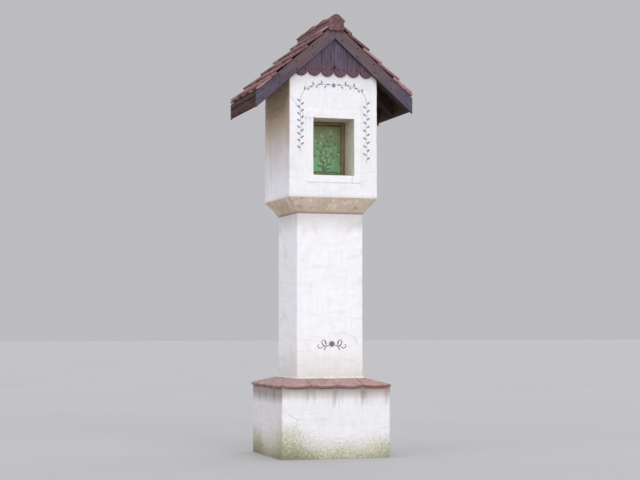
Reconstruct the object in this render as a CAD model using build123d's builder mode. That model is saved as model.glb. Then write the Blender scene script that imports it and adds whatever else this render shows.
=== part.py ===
# Wayside shrine: a rendered masonry pillar with a picture niche under a small gabled roof of
# round-ended clay tiles. Millimetres, +Z up, the niche looks along -Y, origin on the ground at the
# middle of the base.
from build123d import *

import os
from math import cos, radians, sin, tan

os.makedirs("parts", exist_ok=True)

# Masonry: base, shaft, corbel and head, all square on plan
BASE_W = 770.0
BASE_H = 470.0
SHAFT_W = 475.0
SHAFT_H = 1198.0
CORBEL_H = 108.0
HEAD_W = 635.0
HEAD_SIDE_H = 819.0
ARRIS_R = 7.0

# Niche in the front of the head, with its raised band and its framed picture
NICHE_W = 295.0
NICHE_H = 393.0
NICHE_D = 235.0
NICHE_SILL_H = 152.0
SURROUND_W = 50.0
SURROUND_T = 8.0
SURROUND_CHAMFER = 3.0
PANEL_T = 10.0
PANEL_PLAY = 6.0
FRAME_W = 24.0
FRAME_T = 22.0
FRAME_PLAY = 4.0
FRAME_BEVEL = 9.0

# Clay tiles
TILE_T = 14.0
TILE_JOINT = 2.0
LAP_GAP = 0.4

# Coping of the base
COPING_SLOPE = 15.0
COPING_OVERHANG = 27.0
COPING_COUNT = 4
COPING_CORNER = 44.0
COPING_TAIL = 26.0
COPING_JOINED = 12.0
BED_EDGE = 14.0

# Roof form
PITCH = 41.5
ROOF_HALF = 575.0
VERGE = 54.5
COURSES = 5
TILES_ACROSS = 4
TILE_TAIL = 32.0
TILE_LAP = 40.0
TILE_SEAT = 14.0
TILE_NIB = 20.0
RIDGE_CLEAR = 38.0
JOINED_HEAD = 34.0
EAVE_SETBACK = 4.0
EAVE_TOE = 3.5

# Roof timbers
DECK_T = 20.0
DECK_SETBACK = 9.0
RAFTER_T = 56.0
RAFTER_W = 50.0
BARGE_T = 20.0
BARGE_W = 83.0
BARGE_SETBACK = 13.0
VERGE_DRIP = 12.0
EAVE_BOARD_T = 20.0
EAVE_BOARD_H = 71.0
EAVE_BOARD_SETBACK = 4.0

# Gable boards with rounded lower ends
GABLE_T = 18.0
GABLE_BOARD_W = 94.0
GABLE_BOARD_GAP = 1.0
GABLE_TIP_RISE = 13.0

# Ridge caps
RIDGE_COUNT = 3
RIDGE_T = 14.0
RIDGE_LIFT = 6.0
RIDGE_ROUND = 15.0
RIDGE_LEG = 70.0
COLLAR_L = 26.0
COLLAR_T = 7.0
SHOULDER_L = 10.0
STOP_T = 11.0
STOP_W = 108.0
STOP_DROP = 66.0
MORTAR_SETBACK = 3.0

# Clearance between pieces that meet
GAP = 0.3

# Derived heights and roof geometry
TAN = tan(radians(PITCH))
COS = cos(radians(PITCH))
SIN = sin(radians(PITCH))
SHAFT_TOP = BASE_H + SHAFT_H
HEAD_Z = SHAFT_TOP + CORBEL_H
HEAD_SIDE_TOP = HEAD_Z + HEAD_SIDE_H
HALF_HEAD = HEAD_W / 2
NICHE_MID = HEAD_Z + NICHE_SILL_H + NICHE_H / 2

SLOPE_LENGTH = ROOF_HALF / COS
GAUGE = (SLOPE_LENGTH - RIDGE_CLEAR) / COURSES
COURSE_L = GAUGE + TILE_LAP
TILT = (TILE_T + LAP_GAP) / GAUGE
TILE_STACK = TILE_T + TILT * (COURSE_L - TILE_SEAT)
DECK_LOW = TILE_STACK + DECK_T
RAFTER_LOW = DECK_LOW + RAFTER_T
BARGE_LOW = TILE_STACK + BARGE_W
APEX_Z = HEAD_SIDE_TOP + HALF_HEAD * TAN + RAFTER_LOW / COS

ROOF_DEPTH = HEAD_W + 2 * VERGE
HALF_ROOF = ROOF_DEPTH / 2
TILE_PITCH = ROOF_DEPTH / TILES_ACROSS
HALF_DECK = HALF_ROOF - VERGE_DRIP - BARGE_T
BARGE_END = ROOF_HALF - BARGE_SETBACK
DECK_END = ROOF_HALF - DECK_SETBACK
EAVE_BOARD_OUT = BARGE_END - EAVE_BOARD_SETBACK
EAVE_BOARD_IN = EAVE_BOARD_OUT - EAVE_BOARD_T


def roof_z(x, d):
    # height over x of the plane that lies d below the top of the tiles
    return APEX_Z - abs(x) * TAN - d / COS


def roof_point(s, d):
    # point on the left slope, s up from the eave and d square below the top of the tiles
    return (-ROOF_HALF + s * COS + d * SIN, roof_z(ROOF_HALF, 0) + s * SIN - d * COS)


def left_strip(x_end, d_top, d_low):
    # corners of a strip of the left slope from the ridge down to a plumb cut at x_end
    near = GAP / 2
    return [(-near, roof_z(near, d_top)), (-x_end, roof_z(x_end, d_top)),
            (-x_end, roof_z(x_end, d_low)), (-near, roof_z(near, d_low))]


def save(name, part):
    part.label = name
    export_step(part, f"parts/{name}.step")


def save_both_slopes(name, left_part):
    # the left piece and its mirror image on the right slope
    save(f"{name}_left", left_part)
    with BuildPart() as right:
        add(left_part)
        mirror(about=Plane.YZ, mode=Mode.REPLACE)
    save(f"{name}_right", right.part)


# Base
with BuildPart() as base_block:
    with BuildSketch():
        RectangleRounded(BASE_W, BASE_W, ARRIS_R)
    extrude(amount=BASE_H)
save("base_block", base_block.part)

# Sloped mortar bed on the base, round the foot of the shaft
COPING_TAN = tan(radians(COPING_SLOPE))
COPING_COS = cos(radians(COPING_SLOPE))
COPING_SIN = sin(radians(COPING_SLOPE))
BED_RISE = (BASE_W - SHAFT_W) / 2 * COPING_TAN

with BuildPart() as coping_bed:
    with BuildSketch(Plane.XY.offset(BASE_H)):
        RectangleRounded(BASE_W, BASE_W, ARRIS_R)
    extrude(amount=BED_EDGE)
    with BuildSketch(Plane.XY.offset(BASE_H + BED_EDGE)):
        RectangleRounded(BASE_W, BASE_W, ARRIS_R)
    with BuildSketch(Plane.XY.offset(BASE_H + BED_EDGE + BED_RISE)):
        RectangleRounded(SHAFT_W, SHAFT_W, ARRIS_R)
    loft()
    with BuildSketch(Plane.XY.offset(BASE_H)):
        RectangleRounded(SHAFT_W, SHAFT_W, ARRIS_R)
    extrude(amount=BED_EDGE + BED_RISE, mode=Mode.SUBTRACT)
save("coping_bed", coping_bed.part)

# Shaft, and the corbel that widens it to the head
with BuildPart() as shaft:
    with BuildSketch(Plane.XY.offset(BASE_H)):
        RectangleRounded(SHAFT_W, SHAFT_W, ARRIS_R)
    extrude(amount=SHAFT_H)
save("shaft", shaft.part)

with BuildPart() as corbel:
    with BuildSketch(Plane.XY.offset(SHAFT_TOP)):
        RectangleRounded(SHAFT_W, SHAFT_W, ARRIS_R)
    with BuildSketch(Plane.XY.offset(HEAD_Z)):
        RectangleRounded(HEAD_W, HEAD_W, ARRIS_R)
    loft()
save("corbel", corbel.part)

# Head: one block with a gabled top, the niche sunk in its front
with BuildPart() as head:
    with BuildSketch(Plane.XZ):
        with BuildLine():
            Polyline((-HALF_HEAD, HEAD_Z), (HALF_HEAD, HEAD_Z), (HALF_HEAD, HEAD_SIDE_TOP),
                     (0, roof_z(0, RAFTER_LOW)), (-HALF_HEAD, HEAD_SIDE_TOP), close=True)
        make_face()
    extrude(amount=HALF_HEAD, both=True)
    fillet(head.edges().filter_by(Axis.Z), radius=ARRIS_R)
    with BuildSketch(Plane.XZ.offset(HALF_HEAD)):
        with Locations((0, NICHE_MID)):
            Rectangle(NICHE_W, NICHE_H)
    extrude(amount=-NICHE_D, mode=Mode.SUBTRACT)
save("head", head.part)

# Raised plaster band round the niche
with BuildPart() as niche_surround:
    with BuildSketch(Plane.XZ.offset(HALF_HEAD)):
        with Locations((0, NICHE_MID)):
            Rectangle(NICHE_W + 2 * SURROUND_W, NICHE_H + 2 * SURROUND_W)
            Rectangle(NICHE_W, NICHE_H, mode=Mode.SUBTRACT)
    extrude(amount=SURROUND_T)
    chamfer(niche_surround.faces().sort_by(Axis.Y)[0].edges(), length=SURROUND_CHAMFER)
save("niche_surround", niche_surround.part)

# Painted panel at the back of the niche, and the bevelled frame in front of it
NICHE_BACK = HALF_HEAD - NICHE_D
FRAME_FRONT = NICHE_BACK + PANEL_T + FRAME_T
FRAME_OPEN_W = NICHE_W - 2 * FRAME_PLAY - 2 * FRAME_W
FRAME_OPEN_H = NICHE_H - 2 * FRAME_PLAY - 2 * FRAME_W

with BuildPart() as picture_panel:
    with BuildSketch(Plane.XZ.offset(NICHE_BACK)):
        with Locations((0, NICHE_MID)):
            Rectangle(NICHE_W - 2 * PANEL_PLAY, NICHE_H - 2 * PANEL_PLAY)
    extrude(amount=PANEL_T)
save("picture_panel", picture_panel.part)

with BuildPart() as picture_frame:
    with BuildSketch(Plane.XZ.offset(NICHE_BACK + PANEL_T)):
        with Locations((0, NICHE_MID)):
            Rectangle(NICHE_W - 2 * FRAME_PLAY, NICHE_H - 2 * FRAME_PLAY)
            Rectangle(FRAME_OPEN_W, FRAME_OPEN_H, mode=Mode.SUBTRACT)
    extrude(amount=FRAME_T)
    with BuildSketch(Plane.XZ.offset(FRAME_FRONT)):
        with Locations((0, NICHE_MID)):
            Rectangle(FRAME_OPEN_W + 2 * FRAME_BEVEL, FRAME_OPEN_H + 2 * FRAME_BEVEL)
    extrude(amount=-FRAME_BEVEL, taper=45, mode=Mode.SUBTRACT)
save("picture_frame", picture_frame.part)

# Coping: a row of round-ended tiles on each side, mitred at the corners
EDGE_X = BASE_W / 2 + COPING_OVERHANG
EDGE_Z = BASE_H + BED_EDGE - COPING_OVERHANG * COPING_TAN
ROW_L = (EDGE_X - SHAFT_W / 2) / COPING_COS
COPING_PITCH = 2 * (EDGE_X - COPING_CORNER) / COPING_COUNT


def coping_row(turn):
    bed = Plane(origin=(0, -EDGE_X, EDGE_Z), x_dir=(1, 0, 0), z_dir=(0, -COPING_SIN, COPING_COS))
    joints = [(i - COPING_COUNT / 2) * COPING_PITCH for i in range(COPING_COUNT + 1)]
    corner = EDGE_X - COPING_TAIL * COPING_COS - GAP
    top = SHAFT_W / 2
    slot_l = ROW_L - COPING_JOINED
    with BuildPart() as row:
        with BuildSketch(bed):
            with BuildLine():
                for left, right in zip(joints, joints[1:]):
                    ThreePointArc((left, COPING_TAIL), ((left + right) / 2, 0), (right, COPING_TAIL))
                Polyline((joints[-1], COPING_TAIL), (corner, COPING_TAIL), (top, ROW_L), (-top, ROW_L),
                         (-corner, COPING_TAIL), (joints[0], COPING_TAIL))
            make_face()
            for x in joints:
                with Locations((x, slot_l / 2)):
                    Rectangle(TILE_JOINT, slot_l, mode=Mode.SUBTRACT)
        extrude(amount=TILE_T)
        # clear the shaft
        with BuildSketch(Plane.XY.offset(BASE_H)):
            Rectangle(SHAFT_W + 2 * GAP, SHAFT_W + 2 * GAP)
        extrude(amount=SHAFT_H, mode=Mode.SUBTRACT)
    return row.part.rotate(Axis.Z, turn)


for side, turn in (("front", 0), ("right", 90), ("back", 180), ("left", 270)):
    save(f"coping_tiles_{side}", coping_row(turn))

# Rafters: three pairs, seated on the sloped top of the head
RAFTER_Y = HALF_HEAD - RAFTER_W / 2
for place, y in (("front", -RAFTER_Y), ("middle", 0.0), ("back", RAFTER_Y)):
    with BuildPart() as rafter:
        with BuildSketch(Plane.XZ.offset(-y)):
            with BuildLine():
                Polyline(*left_strip(EAVE_BOARD_IN, DECK_LOW, RAFTER_LOW), close=True)
            make_face()
        extrude(amount=RAFTER_W / 2, both=True)
    save_both_slopes(f"rafter_{place}", rafter.part)

# Deck of boards on the rafters
with BuildPart() as roof_deck:
    with BuildSketch(Plane.XZ):
        with BuildLine():
            Polyline(*left_strip(DECK_END, TILE_STACK, DECK_LOW), close=True)
        make_face()
    extrude(amount=HALF_DECK, both=True)
save_both_slopes("roof_deck", roof_deck.part)

# Eave boards across the ends of the rafters, under the deck
with BuildPart() as eave_board:
    with BuildSketch(Plane.XZ):
        with BuildLine():
            low = roof_z(EAVE_BOARD_OUT, DECK_LOW) - EAVE_BOARD_H
            Polyline((-EAVE_BOARD_IN, low), (-EAVE_BOARD_OUT, low),
                     (-EAVE_BOARD_OUT, roof_z(EAVE_BOARD_OUT, DECK_LOW)),
                     (-EAVE_BOARD_IN, roof_z(EAVE_BOARD_IN, DECK_LOW)), close=True)
        make_face()
    extrude(amount=HALF_DECK, both=True)
save_both_slopes("eave_board", eave_board.part)

# Barge boards on the ends of the deck, and gable boards behind them
BOARD_COUNT = int(HEAD_W / GABLE_BOARD_W / 2) * 2
TIP_R = (GABLE_BOARD_W - GABLE_BOARD_GAP) / 2
BOARD_SPRING = HEAD_SIDE_TOP + GABLE_TIP_RISE + TIP_R

for place, outward in (("front", 1), ("back", -1)):
    with BuildPart() as barge_board:
        with BuildSketch(Plane.XZ.offset(outward * HALF_DECK)):
            with BuildLine():
                Polyline(*left_strip(BARGE_END, TILE_STACK, BARGE_LOW), close=True)
            make_face()
        extrude(amount=outward * BARGE_T)
    save_both_slopes(f"barge_board_{place}", barge_board.part)

    with BuildPart() as gable_boards:
        with BuildSketch(Plane.XZ.offset(outward * HALF_HEAD)):
            with BuildLine():
                Polyline((-HALF_HEAD, BOARD_SPRING), (HALF_HEAD, BOARD_SPRING),
                         (HALF_HEAD, roof_z(HALF_HEAD, DECK_LOW)), (0, roof_z(0, DECK_LOW)),
                         (-HALF_HEAD, roof_z(HALF_HEAD, DECK_LOW)), close=True)
            make_face()
            with GridLocations(GABLE_BOARD_W, 0, BOARD_COUNT, 1):
                with Locations((0, BOARD_SPRING)):
                    Circle(TIP_R)
        extrude(amount=outward * GABLE_T)
    save(f"gable_boards_{place}", gable_boards.part)

# Tile courses: each is tilted to lie on the course below and seats its head on the deck
SLOPE = Plane(origin=(-ROOF_HALF, 0, roof_z(ROOF_HALF, 0)), x_dir=(0, -1, 0), z_dir=(-SIN, 0, COS))


def course_profile(start, length, d):
    # section of a course whose tail has its top edge d below the top of the tiles
    seat = (TILE_STACK - TILE_T - d) / TILT
    points = [roof_point(start, d), roof_point(start, d + TILE_T)]
    if seat > length - TILE_NIB:
        nib = length - TILE_NIB
        points.append(roof_point(start + nib, d + TILE_T + TILT * nib))
        points.append(roof_point(start + nib, TILE_STACK))
    else:
        points.append(roof_point(start + seat, TILE_STACK))
    points.append(roof_point(start + length, TILE_STACK))
    points.append(roof_point(start + length, d + TILT * length))
    return points


def course(start, length, staggered, d=0.0):
    # a staggered course starts and ends with half a tile
    count = TILES_ACROSS + 1 if staggered else TILES_ACROSS
    joints = [(i - count / 2) * TILE_PITCH for i in range(count + 1)]
    tail = start + TILE_TAIL
    head_end = start + length
    slot_l = length - JOINED_HEAD
    with BuildPart() as row:
        with BuildSketch(Plane.XZ):
            with BuildLine():
                Polyline(*course_profile(start, length, d), close=True)
            make_face()
        extrude(amount=HALF_ROOF, both=True)
        # rounded tails and the open joints between the tiles
        with BuildSketch(SLOPE):
            with BuildLine():
                for left, right in zip(joints, joints[1:]):
                    ThreePointArc((left, tail), ((left + right) / 2, start), (right, tail))
                Polyline((joints[-1], tail), (joints[-1], head_end + TILE_TAIL),
                         (joints[0], head_end + TILE_TAIL), (joints[0], tail))
            make_face()
            for x in joints[1:-1]:
                with Locations((x, start + slot_l / 2)):
                    Rectangle(TILE_JOINT, slot_l, mode=Mode.SUBTRACT)
        extrude(amount=DECK_LOW, both=True, mode=Mode.INTERSECT)
    return row.part


for i in range(COURSES):
    length = GAUGE if i == COURSES - 1 else COURSE_L
    save_both_slopes(f"tile_course_{i + 1}", course(i * GAUGE, length, i % 2 == 1))

# Short under-tiles that double the first course at the eave
EAVE_TILE_D = TILE_T + LAP_GAP + EAVE_SETBACK * TILT
EAVE_TILE_L = (TILE_STACK - EAVE_TILE_D - EAVE_TOE) / TILT
save_both_slopes("eave_course", course(EAVE_SETBACK, EAVE_TILE_L, True, EAVE_TILE_D))


# Ridge: hollow caps with a collar that laps the cap in front, and a stop at each end of the ridge
def cap_points(d):
    # foot, top of the straight flank, and crown of a cap surface d below the top of the tiles
    radius = RIDGE_ROUND - d
    centre_z = APEX_Z - RIDGE_ROUND / COS
    return (roof_point(SLOPE_LENGTH - RIDGE_LEG, d), (-radius * SIN, centre_z + radius * COS),
            (0, centre_z + radius))


def flip(point):
    return (-point[0], point[1])


def cap_length(y, length, d_out, d_in):
    # straight length of cap between two surfaces, running back from y
    foot, flank, crown = cap_points(d_out)
    foot_in, flank_in, crown_in = cap_points(d_in)
    with BuildPart() as piece:
        with BuildSketch(Plane.XZ.offset(-y)):
            with BuildLine():
                Line(foot, flank)
                ThreePointArc(flank, crown, flip(flank))
                Polyline(flip(flank), flip(foot), flip(foot_in), flip(flank_in))
                ThreePointArc(flip(flank_in), crown_in, flank_in)
                Polyline(flank_in, foot_in, foot)
            make_face()
        extrude(amount=-length)
    return piece.part


def ridge_stop(y):
    # closed end of the ridge, a plate that drops in front of the barge boards
    foot, flank, crown = cap_points(CAP_OUT)
    low = foot[1] - STOP_DROP
    with BuildPart() as piece:
        with BuildSketch(Plane.XZ.offset(-y)):
            with BuildLine():
                Line(foot, flank)
                ThreePointArc(flank, crown, flip(flank))
                Polyline(flip(flank), flip(foot), (STOP_W / 2, foot[1]), (STOP_W / 2, low),
                         (-STOP_W / 2, low), (-STOP_W / 2, foot[1]), foot)
            make_face()
        extrude(amount=-STOP_T)
    return piece.part


CAP_IN = -RIDGE_LIFT
CAP_OUT = CAP_IN - RIDGE_T
COLLAR_IN = CAP_OUT - GAP
COLLAR_OUT = COLLAR_IN - COLLAR_T
CAP_L = ROOF_DEPTH / RIDGE_COUNT

for i in range(RIDGE_COUNT):
    front = -HALF_ROOF + i * CAP_L
    with BuildPart() as ridge_tile:
        add(cap_length(front, CAP_L - GAP, CAP_OUT, CAP_IN))
        if i == 0:
            add(ridge_stop(-HALF_ROOF - STOP_T - GAP))
            add(cap_length(-HALF_ROOF - GAP, GAP, CAP_OUT, CAP_IN))
        else:
            add(cap_length(front - COLLAR_L, COLLAR_L, COLLAR_OUT, COLLAR_IN))
            add(cap_length(front, SHOULDER_L, COLLAR_OUT, CAP_IN))
        if i == RIDGE_COUNT - 1:
            add(cap_length(HALF_ROOF - GAP, 2 * GAP, CAP_OUT, CAP_IN))
            add(ridge_stop(HALF_ROOF + GAP))
    save(f"ridge_tile_{i + 1}", ridge_tile.part)

# Mortar that fills the caps down to the top courses and the deck
with BuildPart() as ridge_mortar:
    foot, flank, crown = cap_points(CAP_IN + GAP)
    top_start = (COURSES - 1) * GAUGE
    foot_s = SLOPE_LENGTH - RIDGE_LEG
    head_s = top_start + GAUGE + GAP
    tile_foot = roof_point(foot_s, TILT * (foot_s - top_start) - GAP)
    tile_head = roof_point(head_s, TILT * GAUGE - GAP)
    deck_edge = roof_point(head_s, TILE_STACK - GAP)
    deck_apex = (0, roof_z(0, TILE_STACK - GAP))
    with BuildSketch(Plane.XZ):
        with BuildLine():
            Line(foot, flank)
            ThreePointArc(flank, crown, flip(flank))
            Polyline(flip(flank), flip(foot), flip(tile_foot), flip(tile_head), flip(deck_edge), deck_apex,
                     deck_edge, tile_head, tile_foot, foot)
        make_face()
    extrude(amount=HALF_ROOF - MORTAR_SETBACK, both=True)
save("ridge_mortar", ridge_mortar.part)
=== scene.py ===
# Looks of a wayside shrine: a lime-washed masonry pillar with a picture niche, under a small gabled
# roof of round-tailed clay tiles. Metres, +Z up, the niche looks along -Y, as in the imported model.
import random
from contextlib import contextmanager
from functools import partial
from math import asin, atan, cos, radians, sin, tan

import bmesh
import bpy
from mathutils import Matrix, Vector


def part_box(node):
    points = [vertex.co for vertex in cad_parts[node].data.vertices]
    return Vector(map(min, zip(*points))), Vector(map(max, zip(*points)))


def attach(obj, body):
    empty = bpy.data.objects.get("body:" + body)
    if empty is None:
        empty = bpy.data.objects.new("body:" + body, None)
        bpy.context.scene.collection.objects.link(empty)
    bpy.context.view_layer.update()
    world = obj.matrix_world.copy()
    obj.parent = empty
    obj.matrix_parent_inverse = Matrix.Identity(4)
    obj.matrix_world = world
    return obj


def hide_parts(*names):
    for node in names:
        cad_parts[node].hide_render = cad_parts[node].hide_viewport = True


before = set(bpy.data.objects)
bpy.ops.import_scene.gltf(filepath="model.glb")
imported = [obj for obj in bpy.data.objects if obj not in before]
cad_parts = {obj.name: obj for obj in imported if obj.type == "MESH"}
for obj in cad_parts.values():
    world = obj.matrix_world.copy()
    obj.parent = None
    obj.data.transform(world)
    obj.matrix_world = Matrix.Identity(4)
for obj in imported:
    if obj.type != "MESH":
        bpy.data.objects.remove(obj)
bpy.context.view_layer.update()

chance = random.Random(17)

# Masonry sizes
BASE_HALF = 0.385
BASE_TOP = 0.470
SHAFT_HALF = 0.2375
SHAFT_TOP = 1.668
HEAD_HALF = 0.3175
HEAD_FOOT = 1.776
HEAD_SIDE_TOP = 2.595
NICHE_HALF_W = 0.1475
NICHE_FOOT = 1.928
NICHE_TOP = 2.321
NICHE_BACK = -0.0825
BAND_W = 0.050
BAND_T = 0.008

# Clay tiles
TILE_T = 0.014
TILE_JOINT = 0.002
TILE_CROWN = 0.0016
LAP_GAP = 0.0004
COPING_SLOPE = radians(15)
COPING_EDGE = 0.412
COPING_EDGE_Z = 0.4768
COPING_ROW = 0.1807
COPING_PITCH = 0.184
COPING_TAIL = 0.026

# Roof form; depths are measured square to the slope from the top of the tiles
PITCH = radians(41.5)
TAN, COS, SIN = tan(PITCH), cos(PITCH), sin(PITCH)
ROOF_HALF = 0.575
HALF_DEPTH = 0.372
SLOPE_LENGTH = ROOF_HALF / COS
COURSES = 5
TILE_PITCH = 0.186
TILE_TAIL = 0.032
TILE_LAP = 0.040
TILE_SEAT = 0.014
RIDGE_CLEAR = 0.038
DECK_T = 0.020
RAFTER_T = 0.056
BARGE_W = 0.083
GAUGE = (SLOPE_LENGTH - RIDGE_CLEAR) / COURSES
COURSE_L = GAUGE + TILE_LAP
TILT = atan((TILE_T + LAP_GAP) / GAUGE)
TILE_STACK = TILE_T + tan(TILT) * (COURSE_L - TILE_SEAT)
DECK_LOW = TILE_STACK + DECK_T
RAFTER_LOW = DECK_LOW + RAFTER_T
BARGE_LOW = TILE_STACK + BARGE_W
APEX_Z = HEAD_SIDE_TOP + HEAD_HALF * TAN + RAFTER_LOW / COS
GAP = 0.0003


def roof_z(x, depth):
    """Height over x of the plane that lies this deep below the top of the tiles."""
    return APEX_Z - abs(x) * TAN - depth / COS


# Boards and timbers of the roof
HALF_DECK = 0.340
DECK_END = 0.566
DECK_BOARDS = 7
DECK_JOINT = 0.0012
RAFTER_HALF = 0.025
RAFTER_Y = HEAD_HALF - RAFTER_HALF
BARGE_END = 0.562
BARGE_T = 0.020
EAVE_OUT = 0.558
EAVE_IN = 0.538
EAVE_H = 0.071
EAVE_FOOT = roof_z(EAVE_OUT, DECK_LOW) - EAVE_H
BOARD_COUNT = 8
BOARD_PITCH = 0.094
BOARD_T = 0.018
BOARD_TOP = 3.0
BOARD_SPRING = 2.6545
TIP_R = 0.0465
TIP_FACETS = 6


# Modelling

def select_only(*pieces):
    """Selects these pieces and makes the first one active."""
    bpy.ops.object.select_all(action="DESELECT")
    for piece in pieces:
        piece.select_set(True)
    bpy.context.view_layer.objects.active = pieces[0]


@contextmanager
def shaping(piece):
    """Edit mode on this piece alone."""
    select_only(piece)
    bpy.ops.object.mode_set(mode="EDIT")
    yield
    bpy.ops.object.mode_set(mode="OBJECT")


def block(name, low, high):
    """A cube primitive at its size and place, ready to be shaped."""
    low, high = Vector(low), Vector(high)
    bpy.ops.mesh.primitive_cube_add(size=1, location=(low + high) / 2, scale=high - low)
    piece = bpy.context.active_object
    piece.name = piece.data.name = name
    bpy.ops.object.transform_apply(location=True, rotation=True, scale=True)
    return piece


def pick(kind, test):
    """Selects the verts, edges or faces that pass the test, and nothing else."""
    bpy.ops.mesh.select_all(action="DESELECT")
    bpy.ops.mesh.select_mode(type={"verts": "VERT", "edges": "EDGE", "faces": "FACE"}[kind])
    shape = bmesh.from_edit_mesh(bpy.context.edit_object.data)
    for part in getattr(shape, kind):
        if test(part):
            part.select_set(True)
    bmesh.update_edit_mesh(bpy.context.edit_object.data)


def middle(part):
    """The middle of an edge or a face."""
    return sum((point.co for point in part.verts), Vector()) / len(part.verts)


def along(edge, axis):
    """True if the edge runs along that axis."""
    way = edge.verts[1].co - edge.verts[0].co
    return abs(way[axis]) > 0.999 * way.length


def cut(point, normal, trim=False):
    """Bisects the whole shape, and with trim takes away what lies on the side the normal points to."""
    bpy.ops.mesh.select_all(action="SELECT")
    bpy.ops.mesh.bisect(plane_co=point, plane_no=normal, use_fill=trim, clear_outer=trim)


def rule_off(low, high, step, axes=(0, 1, 2)):
    """Cuts an even grid across the shape, so that its faces can be made uneven."""
    for axis in axes:
        count = max(1, round((high[axis] - low[axis]) / step))
        for i in range(1, count):
            point, normal = Vector(), Vector()
            point[axis] = low[axis] + (high[axis] - low[axis]) * i / count
            normal[axis] = 1
            cut(point, normal)


def round_off(width, segments, profile=0.5):
    """Rounds the picked edges."""
    bpy.ops.mesh.bevel(offset=width, segments=segments, profile=profile)


def turn_by(degrees, axis="Z"):
    return Matrix.Rotation(radians(degrees), 4, axis)


def by_chance(reach):
    """A chance length or angle of up to that much either way."""
    return chance.uniform(-reach, reach)


def finish_with(piece, kind, **settings):
    """Adds a modifier with its settings and applies it."""
    bpy.context.view_layer.objects.active = piece
    made = piece.modifiers.new(kind.lower(), kind)
    for name, value in settings.items():
        setattr(made, name, value)
    bpy.ops.object.modifier_apply(modifier=made.name)


def soften(piece, width, segments=1, angle=30):
    """Rounds the arrises off."""
    finish_with(piece, "BEVEL", width=width, segments=segments, limit_method="ANGLE",
                angle_limit=radians(angle), harden_normals=False)


def uneven(piece, size, depth, weight=None, mid=0.5, octaves=2):
    """Pushes the surface in and out by a cloudy pattern of that size, within the weight of each point."""
    clouds = bpy.data.textures.new(f"{piece.name}_uneven", "CLOUDS")
    clouds.noise_scale = size
    clouds.noise_depth = octaves
    clouds.noise_basis = "IMPROVED_PERLIN"
    settings = {"texture": clouds, "strength": depth, "mid_level": mid, "texture_coords": "GLOBAL"}
    if weight:
        group = piece.vertex_groups.new(name="uneven")
        for point in piece.data.vertices:
            group.add([point.index], max(0.0, min(1.0, weight(point.co))), "REPLACE")
        settings["vertex_group"] = group.name
    finish_with(piece, "DISPLACE", **settings)
    piece.vertex_groups.clear()


def copy_of(piece, place=None):
    """A copy with its own mesh, moved to its place."""
    made = piece.copy()
    made.data = piece.data.copy()
    bpy.context.collection.objects.link(made)
    if place:
        made.data.transform(place)
    return made


def drop(*pieces):
    for piece in pieces:
        bpy.data.meshes.remove(piece.data)


def joined(name, pieces):
    """The pieces as one mesh under that name."""
    select_only(*pieces)
    bpy.ops.object.join()
    pieces[0].name = pieces[0].data.name = name
    return pieces[0]


def lie(piece, back, tone=None):
    """Keeps each point's own coordinates before the piece was set in place, moved by chance so that
    no two have the same grain, and one tone for the whole of it."""
    shift = Vector([by_chance(4) for _ in range(3)])
    own = piece.data.attributes.new("lie", "FLOAT_VECTOR", "POINT")
    for point, kept in zip(piece.data.vertices, own.data):
        kept.vector = back @ point.co + shift
    tones = piece.data.attributes.new("tone", "FLOAT", "POINT")
    tones.data.foreach_set("value", [chance.random() if tone is None else tone] * len(piece.data.vertices))


def ready(piece, slot, finish, *nodes, angle=40):
    """Shades a finished piece smooth up to that angle, gives it its material, and lets it ride and
    stand for its CAD nodes."""
    select_only(piece)
    bpy.ops.object.shade_smooth_by_angle(angle=radians(angle))
    if finish:
        piece.data.materials.clear()
        piece.data.materials.append(finish)
    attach(piece, "root")
    if nodes:
        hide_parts(*nodes)


# Materials

def colour(code):
    """sRGB hex to linear."""
    parts = [int(code[i:i + 2], 16) / 255 for i in (1, 3, 5)]
    return [p / 12.92 if p <= 0.04045 else ((p + 0.055) / 1.055) ** 2.4 for p in parts] + [1.0]


def feed(socket, value):
    """Links a socket, or sets it to a number or a colour."""
    if isinstance(value, bpy.types.NodeSocket):
        socket.id_data.links.new(value, socket)
    else:
        socket.default_value = colour(value) if isinstance(value, str) else value


def add_node(tree, kind, *inputs, out=None, stops=(), **named):
    """Adds a node with its settings and links, and gives its output of that name or its first one.
    Inputs go to the sockets in use in their order, or by name; names in small letters are settings."""
    made = tree.nodes.new("ShaderNode" + kind)
    for name, value in named.items():
        if name.islower():
            setattr(made, name, value)
    if stops:
        ramp = made.color_ramp.elements
        while len(ramp) < len(stops):
            ramp.new(0.5)
        for stop, (position, code) in zip(ramp, stops):
            stop.position = position
            stop.color = colour(code) if isinstance(code, str) else (code, code, code, 1)
    for socket, value in zip([socket for socket in made.inputs if socket.enabled], inputs):
        feed(socket, value)
    for name, value in named.items():
        if not name.islower():
            feed(made.inputs[name], value)
    return made.outputs[out] if out else next(socket for socket in made.outputs if socket.enabled)


def material(name):
    """A new material, and add_node for its own tree."""
    made = bpy.data.materials.new(name)
    made.use_nodes = True
    return made, partial(add_node, made.node_tree)


def dressed(made, put, base, rough, height=None, strength=1.0, depth=0.001, specular=0.5, metallic=0.0):
    """Gives the shader its colour, its gloss and, from a height, its relief."""
    sockets = made.node_tree.nodes["Principled BSDF"].inputs
    feed(sockets["Base Color"], base)
    feed(sockets["Roughness"], rough)
    feed(sockets["Specular IOR Level"], specular)
    feed(sockets["Metallic"], metallic)
    if height is not None:
        feed(sockets["Normal"], put("Bump", Strength=strength, Distance=depth, Height=height))
    return made


def layered(put, base, *coats):
    """Lays colours over the base one after the other, each by its own share."""
    for share, code in coats:
        base = put("Mix", share, base, code, data_type="RGBA")
    return base


def streaks(put, place, fineness, turn=(0, 0, 0), **noise):
    """Noise drawn out along the axis that is least fine."""
    drawn = put("Mapping", place, Rotation=turn, Scale=fineness)
    return put("TexNoise", drawn, Scale=1.0, **noise)


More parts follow.
